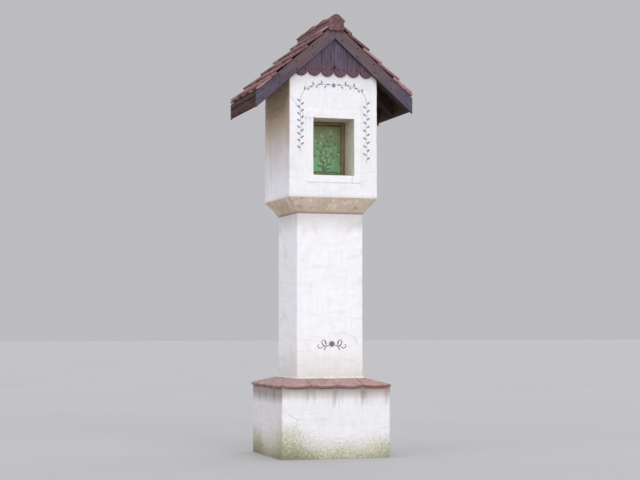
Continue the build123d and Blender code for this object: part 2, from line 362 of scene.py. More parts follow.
def bent(put, place, scale, detail, reach):
    """The place moved about by clouds, so that what is drawn on it wavers."""
    clouds = put("TexNoise", place, Scale=scale, Detail=detail, out="Color")
    return put("VectorMath", clouds, (reach, reach, reach), place, operation="MULTIPLY_ADD")


def facing(put, axis):
    """How far the surface faces along an axis."""
    return put("SeparateXYZ", put("NewGeometry", out="True Normal"), out=axis)


def lime_wash(name, stain=None, tint="#f4f3f6"):
    """Lime wash brushed over trowelled lime render: chalky, matt, cloudy white with soft brush marks,
    thinner where the trowel left it high."""
    made, put = material(name)
    place = put("TexCoord", out="Object")
    # cloudy patches of about 250 mm, brush marks of about 20 mm, sand drawn at 6 mm so that it shows
    patches = put("TexNoise", place, Scale=4.0, Detail=5.0, Roughness=0.6)
    brush = streaks(put, place, (48, 48, 9), Detail=4.0, Distortion=0.4)
    sand = put("TexNoise", place, Scale=160.0, Detail=3.0)
    white = put("ValToRGB", patches, stops=[(0.28, "#e9e7eb"), (0.46, tint), (0.72, "#f8f7fa")])
    marks = put("MapRange", brush, 0.25, 0.8, 0.935, 1.025)
    white = put("Mix", 1.0, white, marks, data_type="RGBA", blend_type="MULTIPLY")
    rubbed = put("TexNoise", place, Scale=23.0, Detail=6.0, Roughness=0.7)
    white = layered(put, white, (put("ValToRGB", rubbed, stops=[(0.62, 0.0), (0.74, 0.45)]), "#dbd4cc"))
    # stain lays real stains and, for most walls, painted shade as well
    if stain:
        white = layered(put, white, *stain(put, place, patches))
    # hairline cracks, drawn 2 mm wide so that they show, in few places
    webs = put("TexVoronoi", bent(put, place, 7.0, 3.0, 0.12), Scale=3.1, feature="DISTANCE_TO_EDGE")
    cracks = put("ValToRGB", webs, stops=[(0.0, 1.0), (0.006, 0.0)])
    few = put("ValToRGB", patches, stops=[(0.56, 0.0), (0.64, 1.0)])
    cracks = put("Math", cracks, few, operation="MULTIPLY")
    white = layered(put, white, (put("Math", cracks, 0.32, operation="MULTIPLY"), "#8f8a86"))
    trowel = streaks(put, place, (6, 6, 15), (0, 0.5, 0), Detail=2.0, Distortion=0.6)
    height = put("Math", brush, 0.45, operation="MULTIPLY")
    for part, share in ((sand, 0.55), (trowel, 2.6), (cracks, -0.5)):
        height = put("Math", part, share, height, operation="MULTIPLY_ADD")
    return dressed(made, put, white, 0.93, height, 0.9, 0.0055, specular=0.3)


# Stains and painted shade give pairs of a share and a colour, laid over the wash in their order

def base_stains_and_shade(put, place, patches):
    """Grey drips under the joints of the coping, darker on the shaded sides as painted shade; painted shade
    in grey patches over the sides and back and as a shadow under the coping's edge; and green algae in the
    splash zone at the foot."""
    x, y, z = (put("SeparateXYZ", place, out=axis) for axis in "XYZ")
    sideways = put("Math", facing(put, "X"), operation="ABSOLUTE")
    sideways = put("Math", sideways, 0.7, operation="GREATER_THAN")
    across = put("Mix", sideways, x, y)
    # shaded is 1 on the sides and back and 0 on the front; the marks it drives are painted shade
    shaded = put("MapRange", facing(put, "Y"), -0.9, -0.4)
    # a grey layer in patches over the sides and back: painted shade
    side_shade = put("MapRange", patches, 0.3, 0.7, 0.1, 0.42)
    side_shade = put("Math", shaded, side_shade, operation="MULTIPLY")
    # ragged drips under the joints, which are one coping tile apart
    joint = put("Math", across, COPING_PITCH / 2, operation="PINGPONG")
    ragged = streaks(put, place, (30, 30, 2.2), Detail=4.0, Roughness=0.6)
    near = put("Math", ragged, 0.11, joint, operation="MULTIPLY_ADD")
    near = put("MapRange", near, 0.05, 0.10, 1.0, 0.25)
    high = put("Math", ragged, -0.24, z, operation="MULTIPLY_ADD")
    high = put("MapRange", high, 0.25, 0.35, 0.0, 0.85)
    drips = put("Math", near, high, operation="MULTIPLY")
    # the drips are real dirt, turned darker on the shaded sides as painted shade
    grime = layered(put, "#a1958d", (shaded, "#6b615e"))
    # a darker band just under the coping's edge, reaching lower on the shaded sides: painted shadow of the
    # coping
    edge = put("Math", shaded, 0.035, z, operation="MULTIPLY_ADD")
    edge = put("MapRange", edge, 0.395, 0.464, 0.0, 0.75)
    # algae climb higher at the corners, on the left and in blotches, with specks of about 8 mm
    corner = put("Math", across, operation="ABSOLUTE")
    corner = put("MapRange", corner, 0.08, 0.36, 0.0, 0.05)
    damp = put("MapRange", x, -0.39, 0.30, 0.045, -0.015)
    specks = put("TexNoise", place, Scale=70.0, Detail=6.0, Roughness=0.75)
    specks = put("MapRange", specks, 0.3, 0.7, -0.08, 0.08)
    foot = put("Math", patches, 0.18, corner, operation="MULTIPLY_ADD")
    foot = put("Math", foot, damp, operation="ADD")
    foot = put("Math", foot, z, operation="SUBTRACT")
    foot = put("Math", foot, specks, operation="ADD")
    green = put("MapRange", foot, -0.05, 0.08, 0.0, 0.85)
    splash = put("MapRange", foot, 0.06, 0.16, 0.0, 0.82)
    return [(0.12, "#dfdce0"), (side_shade, "#c9c3c3"), (drips, grime), (edge, "#9c8b84"), (green, "#b4b28c"),
            (splash, "#7d7c64")]


def shaft_stains_and_shade(put, place, patches):
    """A faint green tinge just above the coping, spread higher in grey-green as painted shade at the shaft's
    foot; a few thin grey runs; and painted shade under the corbel.
    """
    z = put("SeparateXYZ", place, out="Z")
    rise = put("Math", patches, -0.2, z, operation="MULTIPLY_ADD")
    # green: an algae tinge, spread higher than the algae as painted shade at the foot of the shaft
    green = put("MapRange", rise, 0.66, 0.40, 0.0, 0.6)
    runs = put("MapRange", streaks(put, place, (30, 30, 1.1), Detail=3.0), 0.62, 0.8, 0.0, 0.14)
    runs = put("Math", runs, put("MapRange", z, 1.35, 1.66, 0.1, 1.0), operation="MULTIPLY")
    # under: a darker band at the top of the shaft, painted shade under the corbel
    under = put("MapRange", rise, 1.43, 1.56, 0.0, 0.55)
    return [(green, "#cccbb9"), (runs, "#bdb8b8"), (under, "#b4a9a6")]


def head_shade_and_stains(put, place, patches):
    """Painted shade with warm bounce light, laid as ochre runs down the sides from under the eaves; the
    front has none of them. Painted shade under the roof at the top of every wall.
    """
    z = put("SeparateXYZ", place, out="Z")
    sideways = put("Math", facing(put, "X"), operation="ABSOLUTE")
    sideways = put("MapRange", sideways, 0.35, 0.8)
    level = put("Math", streaks(put, place, (9, 9, 1.3), Detail=5.0), 0.30, z, operation="MULTIPLY_ADD")
    grain = put("TexNoise", place, Scale=55.0, Detail=6.0, Roughness=0.72)
    level = put("Math", level, put("MapRange", grain, 0.3, 0.7, -0.07, 0.07), operation="ADD")
    # haze and ochre: painted shade and warm bounce light under the eaves, on the sides only
    haze = put("Math", put("MapRange", level, 2.00, 2.42, 0.0, 0.66), sideways, operation="MULTIPLY")
    ochre = put("Math", put("MapRange", level, 2.24, 2.54, 0.0, 0.78), sideways, operation="MULTIPLY")
    foot = put("MapRange", z, 1.80, HEAD_FOOT, 0.0, 0.35)
    # under: a lilac grey band at the top of the walls, painted shade under the roof
    under = put("Math", put("MapRange", z, 2.50, 2.62, 0.0, 0.5), patches, operation="MULTIPLY")
    return [(haze, "#b8a79c"), (ochre, "#c9ad8a"), (foot, "#c6b7ab"), (under, "#c9b8bc")]


def fillet_stains(put, place, patches):
    """Dust and grime that stays on the narrow slope of the fillet."""
    grain = put("TexNoise", place, Scale=45.0, Detail=6.0, Roughness=0.7)
    return [(put("MapRange", grain, 0.35, 0.65, 0.05, 0.6), "#c9bdb6")]


def niche_painted_shade(put, place, patches):
    """Yellowish brown on the upper niche and its ceiling: painted shade with warm bounce light."""
    level = put("Math", put("SeparateXYZ", place, out="Z"), patches, operation="ADD")
    return [(put("MapRange", level, 2.66, 2.90, 0.0, 0.5), "#b59b68")]


def worn_and_shaded_render():
    """Lime render whose wash has flaked off: gritty, with dirty hollows. Its sandy beige and brown is partly
    the bare render and partly painted shade with warm bounce light from below, darker at its foot.
    """
    made, put = material("worn_lime_render_with_painted_shade")
    place = put("TexCoord", out="Object")
    # flakes of about 60 mm with torn edges, grit drawn at 5 mm
    flakes = put("TexNoise", place, Scale=16.0, Detail=7.0, Roughness=0.68)
    patches = put("TexNoise", place, Scale=5.0, Detail=3.0)
    grit = put("TexNoise", place, Scale=200.0, Detail=2.0)
    # sandy beige: partly painted shade with warm bounce light on these downward faces
    sandy = put("ValToRGB", patches, stops=[(0.35, "#bcad8f"), (0.5, "#cdbaa8"), (0.66, "#dac2b9")])
    wash = put("ValToRGB", flakes, stops=[(0.55, 0.0), (0.6, 0.6)])
    hollows = put("ValToRGB", flakes, stops=[(0.36, 0.7), (0.44, 0.0)])
    # low: darker along the foot, where the corbel meets the shaft: painted shade
    low = put("Math", flakes, -0.03, put("SeparateXYZ", place, out="Z"), operation="MULTIPLY_ADD")
    low = put("MapRange", low, 1.672, 1.652, 0.0, 0.75)
    sandy = layered(put, sandy, (wash, "#e4dbd5"), (hollows, "#a1917a"), (low, "#7a6a59"))
    return dressed(made, put, sandy, 0.95, put("Mix", 0.3, flakes, grit), 0.8, 0.004, specular=0.25)


def bedding_mortar():
    """Lime and cement mortar: grey-beige, coarse, darker where it stays damp."""
    made, put = material("bedding_mortar")
    place = put("TexCoord", out="Object")
    lumps = put("TexNoise", place, Scale=40.0, Detail=6.0, Roughness=0.65)
    grit = put("TexNoise", place, Scale=250.0, Detail=2.0)
    grey = put("ValToRGB", lumps, stops=[(0.3, "#6f625e"), (0.55, "#8f807b"), (0.75, "#a89a95")])
    return dressed(made, put, grey, 0.95, put("Mix", 0.4, lumps, grit), 0.8, 0.003)


def fired_clay(name, tones, bloom, grime, dust):
    """Drawn and fired clay: matt, sandy, each tile of its own tone, with a pale bloom, dark weathered
    clouds, fine lines from the die, and pale dust on what faces up, partly painted light on the lit tops."""
    made, put = material(name)
    place = put("Attribute", attribute_name="lie", out="Vector")
    tone = put("Attribute", attribute_name="tone", out="Fac")
    clouds = put("TexNoise", place, Scale=17.0, Detail=8.0, Roughness=0.72)
    spots = put("TexNoise", place, Scale=90.0, Detail=4.0, Roughness=0.7)
    # lines of the die drawn 5 mm apart so that they show
    lines = streaks(put, place, (6, 200, 200), Detail=2.0)
    pale = put("MapRange", spots, 0.35, 0.7, 0.0, 0.4)
    dark = put("ValToRGB", clouds, stops=[(0.47, 0.0), (0.7, 0.7)])
    # tops paler than the edges: dust, and partly painted light on the lit tops
    upward = put("MapRange", facing(put, "Z"), 0.6, 0.95)
    dust_and_top_light = put("MapRange", clouds, 0.68, 0.38, 0.25, 0.75)
    dust_and_top_light = put("Math", upward, dust_and_top_light, operation="MULTIPLY")
    lichen = put("ValToRGB", put("TexVoronoi", place, Scale=34.0), stops=[(0.10, 0.55), (0.16, 0.0)])
    lichen = put("Math", lichen, clouds, operation="MULTIPLY")
    clay = layered(put, put("ValToRGB", tone, stops=tones), (pale, bloom), (dark, grime), (dust_and_top_light, dust),
                   (lichen, "#b9b49a"))
    rough = put("MapRange", clouds, 0.3, 0.7, 0.78, 0.95)
    return dressed(made, put, clay, rough, put("Mix", 0.45, lines, spots), 0.7, 0.0014, specular=0.35)


def weathered_wood(name, pale, mid, dark, wear=None, rough=0.85):
    """Sawn softwood left to the weather or with the last of an old stain: matt, raised grain and
    fine drying cracks that run with the board, each board of its own tone."""
    made, put = material(name)
    place = put("Attribute", attribute_name="lie", out="Vector")
    tone = put("Attribute", attribute_name="tone", out="Fac")
    # growth lines of about 7 mm along the board, fibres drawn at 3 mm, cracks in a pattern of 16 mm
    wavy = bent(put, place, 2.2, 2.0, 0.06)
    lines = streaks(put, wavy, (5, 140, 140), Detail=3.0)
    fibres = streaks(put, place, (14, 330, 330), Detail=2.0)
    cracks = streaks(put, wavy, (3, 62, 62), Detail=1.0)
    cracks = put("ValToRGB", cracks, stops=[(0.485, 0.0), (0.5, 1.0), (0.515, 0.0)])
    kept = streaks(put, place, (7, 16, 16), Detail=6.0, Roughness=0.65)
    few = put("ValToRGB", kept, stops=[(0.52, 0.0), (0.6, 1.0)])
    cracks = put("Math", cracks, few, operation="MULTIPLY")
    wood = put("ValToRGB", lines, stops=[(0.3, dark), (0.5, mid), (0.72, pale)])
    wood = layered(put, wood, (put("MapRange", fibres, 0.4, 0.75, 0.0, 0.35), dark))
    shade = put("MapRange", tone, 0.0, 1.0, 0.8, 1.15)
    wood = put("Mix", 1.0, wood, shade, data_type="RGBA", blend_type="MULTIPLY")
    wood = layered(put, wood, (put("ValToRGB", kept, stops=[(0.52, 0.0), (0.66, 0.55)]), pale))
    if wear:
        z = put("SeparateXYZ", put("TexCoord", out="Object"), out="Z")
        wood = layered(put, wood, *wear(put, z, kept))
    # under: faces that point down are darkened, painted shade
    under = put("MapRange", facing(put, "Z"), -0.2, -0.6, 0.0, 0.6)
    split = put("Math", cracks, 0.85, operation="MULTIPLY")
    wood = layered(put, wood, (split, "#1d1918"), (under, "#1c1517"))
    height = put("Math", put("Mix", 0.4, lines, fibres), cracks, operation="SUBTRACT")
    return dressed(made, put, wood, rough, height, 0.8, 0.0015, specular=0.3)


def worn_stain(put, z, kept):
    """The bluish stain is left on the lower part of the boards; higher up it has worn to pinkish grey."""
    level = put("Math", kept, 0.3, z, operation="MULTIPLY_ADD")
    return [(put("MapRange", level, 2.72, 2.80, 0.0, 0.55), "#735c60"),
            (put("MapRange", level, 2.72, 2.66, 0.0, 0.35), "#5b556c")]


def brown_tips(put, z, kept):
    """The stain has gone reddish brown at the feet of the boards, where the rain drips off."""
    level = put("Math", kept, 0.08, z, operation="MULTIPLY_ADD")
    return [(put("MapRange", level, 2.76, 2.68, 0.0, 0.75), "#6b4d58")]


def rusty_iron():
    """Forged iron nails gone to rust: dark brown with orange specks, half metal."""
    made, put = material("rusted_iron")
    specks = put("TexNoise", put("TexCoord", out="Object"), Scale=400.0, Detail=4.0)
    rust = put("ValToRGB", specks, stops=[(0.35, "#231a18"), (0.6, "#4a2f26"), (0.75, "#7a4630")])
    return dressed(made, put, rust, 0.8, specks, 0.6, 0.0006, metallic=0.3)


def mineral_paint(name, code, fade):
    """Thin mineral paint brushed on the lime wash: matt, streaky, with the white showing through."""
    made, put = material(name)
    thin = put("TexNoise", put("TexCoord", out="Object"), Scale=70.0, Detail=5.0, Roughness=0.7)
    bare = put("MapRange", thin, 0.35, 0.7, fade * 0.4, fade * 1.6)
    paint = layered(put, code, (bare, "#e9e8ea"))
    return dressed(made, put, paint, 0.92, thin, 0.5, 0.0004, specular=0.3)


def painted_panel():
    """Oil paint on a board, mottled greens in loose strokes, a little glossy under dust."""
    made, put = material("oil_painted_board")
    place = put("TexCoord", out="Object")
    # strokes of about 16 by 38 mm, dabs of about 22 mm drawn out of shape
    strokes = streaks(put, place, (26, 26, 62), (0, 0.5, 0), Detail=4.0, Distortion=0.8)
    dabs = put("TexVoronoi", bent(put, place, 40.0, 2.0, 0.035), Scale=46.0, out="Color")
    level = put("MapRange", put("SeparateXYZ", place, out="Z"), 1.96, 2.29)
    level = put("Math", level, put("MapRange", strokes, 0.0, 1.0, -0.3, 0.3), operation="ADD")
    ground = put("ValToRGB", level, stops=[(0.0, "#78b08e"), (0.25, "#70aa7a"), (0.45, "#709f68"),
                                           (0.62, "#74935f"), (0.8, "#848c62"), (1.0, "#827d58")])
    # each dab a little lighter, darker or yellower than the ground
    dab = put("ValToRGB", dabs, stops=[(0.15, "#4f7650"), (0.4, "#7ca272"), (0.6, "#8fa872"),
                                       (0.85, "#5c8e7a")])
    rough = put("MapRange", strokes, 0.0, 1.0, 0.4, 0.65)
    return dressed(made, put, layered(put, ground, (0.3, dab)), rough, strokes, 0.6, 0.0012)


def oil_stroke(name, code):
    """Oil paint in thick strokes, a little uneven in its tone, with a soft gloss."""
    made, put = material(name)
    bristles = put("TexNoise", put("TexCoord", out="Object"), Scale=120.0, Detail=4.0)
    shade = put("MapRange", bristles, 0.3, 0.7, 0.8, 1.15)
    paint = put("Mix", 1.0, code, shade, data_type="RGBA", blend_type="MULTIPLY")
    return dressed(made, put, paint, 0.5, bristles, 0.5, 0.0005)


def studio_floor():
    """Painted studio floor: plain, pale and matt."""
    made, put = material("studio_floor")
    cloud = put("TexNoise", put("TexCoord", out="Object"), Scale=0.6, Detail=2.0)
    return dressed(made, put, put("ValToRGB", cloud, stops=[(0.3, "#c2c2c3"), (0.7, "#c5c5c6")]), 0.9)


BASE_WASH = lime_wash("lime_wash_base", base_stains_and_shade)
SHAFT_WASH = lime_wash("lime_wash_shaft", shaft_stains_and_shade, "#fbfafd")
HEAD_WASH = lime_wash("lime_wash_head", head_shade_and_stains)
BAND_WASH = lime_wash("lime_wash_band", tint="#f8f8f9")
FILLET_WASH = lime_wash("lime_wash_fillet", fillet_stains)
# the niche's beige tint, darker than the walls, is painted shade with warm bounce light
NICHE_WASH = lime_wash("lime_wash_niche", niche_painted_shade, "#dfd5c6")
CORBEL_RENDER = worn_and_shaded_render()
MORTAR = bedding_mortar()
ROOF_TONES = [(0.0, "#603b3d"), (0.35, "#7f5052"), (0.65, "#956669"), (0.9, "#ab8285")]
ROOF_CLAY = fired_clay("fired_clay_roof", ROOF_TONES, "#b39699", "#47302f", "#99797b")
COPING_TONES = [(0.0, "#8d6a66"), (0.5, "#a07c78"), (0.85, "#9c6762"), (1.0, "#96544e")]
COPING_CLAY = fired_clay("fired_clay_coping", COPING_TONES, "#b3938f", "#6f504c", "#cbafab")
BARGE_WOOD = weathered_wood("stained_barge_board", "#72656e", "#5e525e", "#40363f", worn_stain)
GABLE_WOOD = weathered_wood("stained_gable_board", "#6e6273", "#5c5163", "#40374a", brown_tips)
EAVE_WOOD = weathered_wood("weathered_eave_board", "#64463f", "#4f3530", "#2e1e1b")
ROOF_WOOD = weathered_wood("weathered_roof_timber", "#5f4a41", "#48362f", "#2c201c")
FRAME_WOOD = weathered_wood("varnished_frame_wood", "#aa9b70", "#8d7f55", "#605436", rough=0.5)
IRON = rusty_iron()
FAINT_PAINT = mineral_paint("mineral_paint_grey_blue", "#686b82", 0.18)
DARK_PAINT = mineral_paint("mineral_paint_purple_grey", "#4f4558", 0.15)
PICTURE = painted_panel()
DARK_GREEN = oil_stroke("oil_paint_dark_green", "#4b754d")
PALE_GREEN = oil_stroke("oil_paint_pale_green", "#98b388")


# Masonry: trowelled walls, a little out of true, with rounded and chipped arrises

WALL_MESH = 0.017
CORBEL_MESH = 0.013
BAND_MESH = 0.015
TRUE_END = 0.03
CORBEL_TRUE_END = 0.02
CHIP_REACH = 0.014
# walls give way less this near to the mouth of the niche
MOUTH_REACH = 0.06


def trowelled(piece, half, free, chip):
    """Makes walls uneven and chips their arrises; free says how far each point may give way."""
    def arris(point):
        reach = max(half - abs(point.x), 0) + max(half - abs(point.y), 0)
        return (1 - reach / CHIP_REACH) * min(1.0, free(point))

    uneven(piece, 0.32, 0.006, free)
    uneven(piece, 0.06, 0.0022, free)
    uneven(piece, 0.045, chip, arris, mid=0.62, octaves=3)


def pillar(name, half, foot, top, arris=0.007):
    """A square pillar with rounded corners, its ends kept true where they meet the next piece."""
    low, high = (-half, -half, foot), (half, half, top)
    piece = block(name, low, high)
    with shaping(piece):
        pick("edges", lambda edge: along(edge, 2))
        round_off(arris, 3)
        rule_off(low, high, WALL_MESH)
    trowelled(piece, half, lambda point: min(point.z - foot, top - point.z) / TRUE_END, 0.012)
    return piece


ready(pillar("base_walls", BASE_HALF, 0.0, BASE_TOP, 0.010), "lime_render", BASE_WASH, "base_block")
shaft = pillar("shaft_walls", SHAFT_HALF, BASE_TOP, SHAFT_TOP)
ready(shaft, "lime_render", SHAFT_WASH, "shaft")

# Corbel: the shaft's section drawn out to the head's
corbel = block("corbel_walls", (-SHAFT_HALF, -SHAFT_HALF, SHAFT_TOP), (SHAFT_HALF, SHAFT_HALF, HEAD_FOOT))
with shaping(corbel):
    pick("faces", lambda face: face.normal.z > 0.9)
    spread = HEAD_HALF / SHAFT_HALF
    bpy.ops.transform.resize(value=(spread, spread, 1), center_override=(0, 0, HEAD_FOOT))
    pick("edges", lambda edge: abs(edge.verts[0].co.z - edge.verts[1].co.z) > 0.05)
    round_off(0.009, 3)
    rule_off((-HEAD_HALF, -HEAD_HALF, SHAFT_TOP), (HEAD_HALF, HEAD_HALF, HEAD_FOOT), CORBEL_MESH)
for size in (0.12, 0.028):
    uneven(corbel, size, 0.006,
           lambda point: min(HEAD_FOOT - point.z, point.z - SHAFT_TOP) / CORBEL_TRUE_END, octaves=3)
ready(corbel, "stained_render", CORBEL_RENDER, "corbel", angle=50)


# Head: a block trimmed to its gable, the niche pushed in from the front

def in_niche(point, margin=0.0005):
    return abs(point.x) < NICHE_HALF_W + margin and NICHE_FOOT - margin < point.z < NICHE_TOP + margin


def head_free(point):
    """Free over the walls, held back round the niche and more so in it, and true at the foot."""
    off_mouth = max(abs(point.x) - NICHE_HALF_W, NICHE_FOOT - point.z, point.z - NICHE_TOP)
    held = (0.25 if in_niche(point, 0.002) else 1.0) * (1 if off_mouth > MOUTH_REACH else 0.35)
    return min((point.z - HEAD_FOOT) / TRUE_END, held)


head_low, head_high = (-HEAD_HALF, -HEAD_HALF, HEAD_FOOT), (HEAD_HALF, HEAD_HALF, roof_z(0, RAFTER_LOW))
head = block("head_walls", head_low, head_high)
with shaping(head):
    for way in (-1, 1):
        cut((0, 0, roof_z(0, RAFTER_LOW)), (way * SIN, 0, COS), trim=True)
    pick("edges", lambda edge: along(edge, 2))
    round_off(0.008, 3)
    for x in (-NICHE_HALF_W, NICHE_HALF_W):
        cut((x, 0, 0), (1, 0, 0))
    for z in (NICHE_FOOT, NICHE_TOP):
        cut((0, 0, z), (0, 0, 1))
    pick("faces", lambda face: face.normal.y < -0.9 and in_niche(middle(face)))
    bpy.ops.mesh.extrude_region_move(TRANSFORM_OT_translate={"value": (0, HEAD_HALF + NICHE_BACK, 0)})
    rule_off(head_low, head_high, WALL_MESH)
trowelled(head, HEAD_HALF, head_free, 0.010)
head.data.materials.append(HEAD_WASH)
head.data.materials.append(NICHE_WASH)
with shaping(head):
    pick("faces", lambda face: in_niche(middle(face), 0.004)
         and -HEAD_HALF + 0.004 < middle(face).y < NICHE_BACK + 0.01)
    head.active_material_index = 1
    bpy.ops.object.material_slot_assign()
ready(head, "lime_render", None, "head")

# Raised band round the niche: a slab with the opening bridged through it
BAND_ROOT = 0.004
band = block("niche_band", (-NICHE_HALF_W - BAND_W, -HEAD_HALF - BAND_T, NICHE_FOOT - BAND_W),
             (NICHE_HALF_W + BAND_W, -HEAD_HALF + BAND_ROOT, NICHE_TOP + BAND_W))
with shaping(band):
    pick("faces", lambda face: abs(face.normal.y) > 0.9)
    bpy.ops.mesh.inset(thickness=BAND_W)
    pick("faces", lambda face: abs(face.normal.y) > 0.9 and in_niche(middle(face)))
    bpy.ops.mesh.bridge_edge_loops()
soften(band, 0.003, 2)
with shaping(band):
    rule_off((-0.2, -1, 1.87), (0.2, -1, 2.38), BAND_MESH, axes=(0, 2))
uneven(band, 0.10, 0.0025)
uneven(band, 0.03, 0.0014)
ready(band, "lime_render", BAND_WASH, "niche_surround")

# Picture: a thin board with loose brush relief
panel_low, panel_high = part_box("picture_panel")
panel = block("picture_board", panel_low, panel_high)
with shaping(panel):
    rule_off(panel_low, panel_high, 0.010, axes=(0, 2))
uneven(panel, 0.02, 0.0012, lambda point: 1.0 if point.y < panel_low.y + 0.002 else 0.0)
ready(panel, "picture_paint", PICTURE, "picture_panel")

# Picture frame: four mitred sticks with a hollow moulding towards the picture
STICK_W = 0.024
frame_low, frame_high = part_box("picture_frame")
centre, half_size = (frame_low + frame_high) / 2, (frame_high - frame_low) / 2
stick_t = frame_high.y - frame_low.y
stand = Matrix(((1, 0, 0, centre.x), (0, 0, -1, frame_high.y), (0, 1, 0, centre.z), (0, 0, 0, 1)))
sticks = []
for turn in range(4):
    half_l, half_w = (half_size.x, half_size.z) if turn % 2 == 0 else (half_size.z, half_size.x)
    # x along the stick, y from its outer edge to the picture, z out of the niche
    stick = block("stick", (-half_l, -half_w, 0), (half_l, -half_w + STICK_W, stick_t))
    with shaping(stick):
        pick("edges", lambda edge: along(edge, 0) and middle(edge).z > stick_t / 2
             and middle(edge).y > -half_w + 0.01)
        round_off(0.009, 4, 0.22)
        pick("edges", lambda edge: along(edge, 0) and middle(edge).z > stick_t / 2
             and middle(edge).y < -half_w + 0.001)
        round_off(0.004, 3, 0.6)
        for way in (-1, 1):
            cut((way * half_l, -half_w, 0), (way, -1, 0), trim=True)
        rule_off((-half_l, 0, 0), (half_l, 0, 0), 0.03, axes=(0,))
    soften(stick, 0.0004)
    lie(stick, Matrix.Identity(4))
    stick.data.transform(stand @ turn_by(90 * turn))
    sticks.append(stick)
mitred = joined("picture_frame_sticks", sticks)
uneven(mitred, 0.08, 0.0008)
ready(mitred, "frame_wood", FRAME_WOOD, "picture_frame", angle=30)


# Clay tiles: one tile with a rounded tail, then its copies

def clay_tile(name, width, length, tail):
    """A flat tile, x from its tail to its head, y across, its top at z 0; its tail is trimmed to an
    arc, its middle is a touch higher than its edges."""
    piece = block(name, (0, -width / 2, -TILE_T), (length, width / 2, 0))
    radius = ((width / 2) ** 2 + tail ** 2) / (2 * tail)
    reach = asin(width / 2 / radius)
    with shaping(piece):
        for i in (-3, -2, -1, 1, 2, 3):
            out = Vector((-cos(reach * i / 3.5), sin(reach * i / 3.5), 0))
            cut(Vector((radius, 0, 0)) + out * radius, out, trim=True)
        for i in (-2, -1, 1, 2):
            cut((0, i * width / 6, 0), (0, 1, 0))
        for i in (1, 2, 3):
            cut((tail + (length - tail) * i / 4, 0, 0), (1, 0, 0))
        pick("verts", lambda point: abs(point.co.y) < width * 0.2)
        bpy.ops.transform.translate(value=(0, 0, TILE_CROWN))
        pick("verts", lambda point: width * 0.3 < abs(point.co.y) < width * 0.4)
        bpy.ops.transform.translate(value=(0, 0, TILE_CROWN / 2))
    return piece


def tile_kinds(length, depth):
    """The whole tile and its two halves for the verges, each with its foot dressed to lie on the deck."""
    whole = clay_tile("whole", TILE_PITCH - TILE_JOINT, length, TILE_TAIL)
    with shaping(whole):
        cut((0, 0, -(TILE_STACK - depth) / cos(TILT)), (sin(TILT), 0, -cos(TILT)), trim=True)
    halves = [copy_of(whole), copy_of(whole)]
    for half, way in zip(halves, (-1, 1)):
        with shaping(half):
            cut((0, 0, 0), (0, way, 0), trim=True)
    for kind in (whole, *halves):
        soften(kind, 0.0014, 2)
    return whole, halves


def askew(turn, tip):
    """A small chance turn on the bed and a chance tip across the slope, each up to that many degrees."""
    return turn_by(by_chance(turn)) @ turn_by(by_chance(tip), "X")


def course(name, slope, start, depth, staggered, kinds, node):
    """Lays one course of tiles, each a little off the line and with its own tone."""
    whole, halves = kinds
    count = 5 if staggered else 4
    laid = []
    for j in range(count):
        y = (j - (count - 1) / 2) * TILE_PITCH
        kind = whole
        if staggered and j in (0, count - 1):
            kind = halves[1 if j else 0]
        slip = (start + by_chance(0.0025), y + by_chance(0.0006), chance.uniform(0, 0.0008) - depth)
        place = slope @ Matrix.Translation(slip) @ Matrix.Rotation(TILT, 4, "Y") @ askew(0.5, 0.35)
        tile = copy_of(kind, place)
        lie(tile, place.inverted())
        laid.append(tile)
    piece = joined(name, laid)
    uneven(piece, 0.07, 0.0016)
    ready(piece, "roof_clay", ROOF_CLAY, node, angle=35)


SLOPE = Matrix(((COS, 0, -SIN, -ROOF_HALF), (0, 1, 0, 0), (SIN, 0, COS, roof_z(ROOF_HALF, 0)), (0, 0, 0, 1)))
SIDES = {"left": Matrix.Identity(4), "right": turn_by(180)}
EAVE_SETBACK = 0.004
EAVE_TOE = 0.0035
EAVE_TILE_D = TILE_T + LAP_GAP + EAVE_SETBACK * tan(TILT)
EAVE_TILE_L = (TILE_STACK - EAVE_TILE_D - EAVE_TOE) / tan(TILT)

full_kinds = tile_kinds(COURSE_L, 0)
top_kinds = tile_kinds(GAUGE, 0)
eave_kinds = tile_kinds(EAVE_TILE_L, EAVE_TILE_D)
for side, turn in SIDES.items():
    course(f"eave_tiles_{side}", turn @ SLOPE, EAVE_SETBACK, EAVE_TILE_D, True, eave_kinds,
           f"eave_course_{side}")
    for i in range(COURSES):
        kinds = top_kinds if i == COURSES - 1 else full_kinds
        course(f"roof_tiles_{i + 1}_{side}", turn @ SLOPE, i * GAUGE, 0, i % 2 == 1, kinds,
               f"tile_course_{i + 1}_{side}")
for whole, halves in (full_kinds, top_kinds, eave_kinds):
    drop(whole, *halves)


# Coping: four tiles on each side of the base and a mitred corner piece at each end

def mitred_end(piece):
    """Cuts a piece of the coping along both corners of the base and rounds its arrises."""
    with shaping(piece):
        for way in (-1, 1):
            cut((way * 0.0005, 0, 0), (way, 1, 0), trim=True)
    soften(piece, 0.0016, 2)


